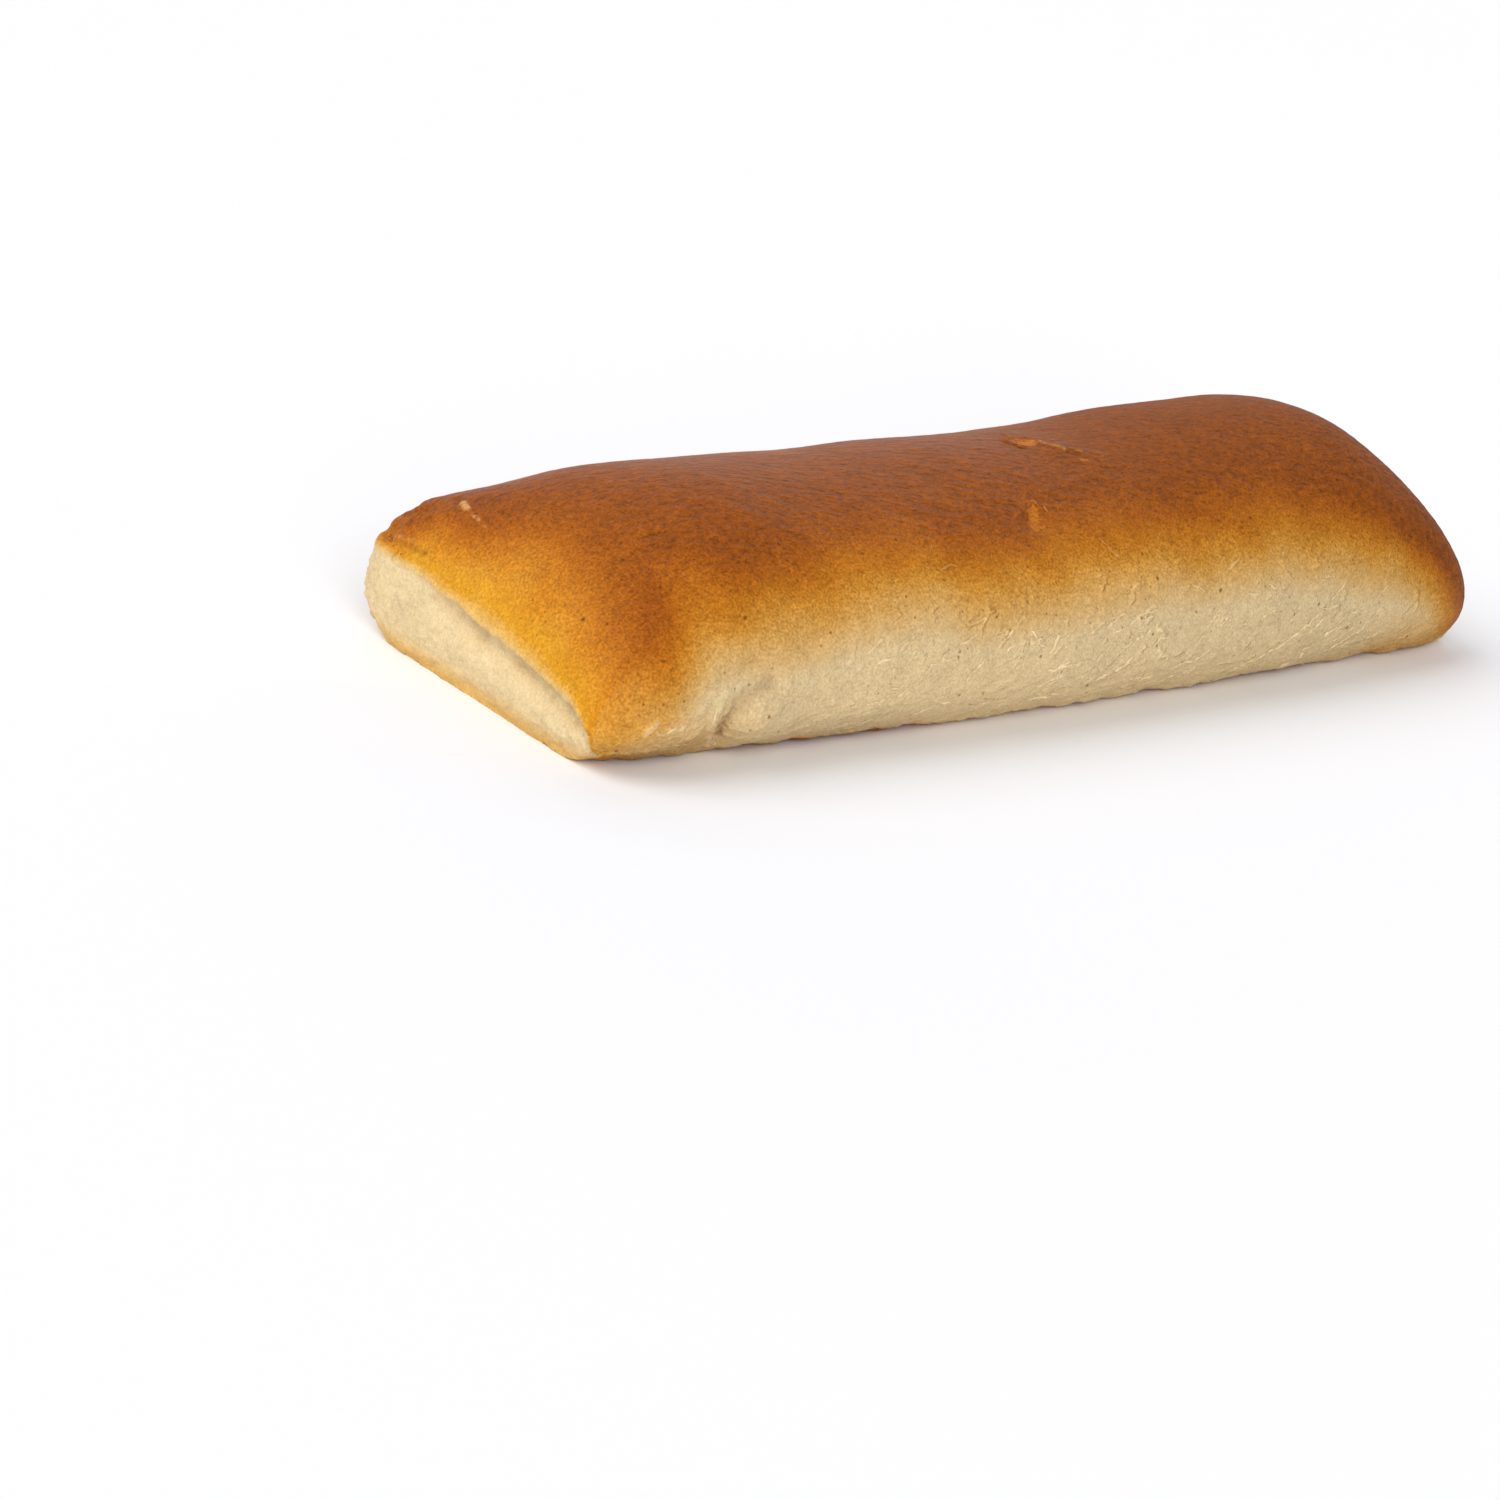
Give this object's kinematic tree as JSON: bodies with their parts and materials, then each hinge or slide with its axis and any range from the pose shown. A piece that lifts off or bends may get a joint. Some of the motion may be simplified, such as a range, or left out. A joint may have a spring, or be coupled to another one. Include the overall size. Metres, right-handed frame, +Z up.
{
  "type": "sausage roll",
  "caption": "Soft bread-dough sausage roll, baked whole: long domed loaf with a browned crown, pale sides, pressed ends with bare dough faces and a flat base.",
  "frame": {"origin": "under the middle of the roll's box, on the plane of its flat base", "axes": "+X along the roll from the broad near end to the far end, -Y the long side with the pinched fold, +Z up"},
  "size_m": [0.1638, 0.0544, 0.0302],
  "materials": {
    "crust": "satin baked crust, brown on the crown, cream on the sides and end faces"
  },
  "bodies": {
    "root": {"sausage_roll": "crust"}
  },
  "joints": []
}
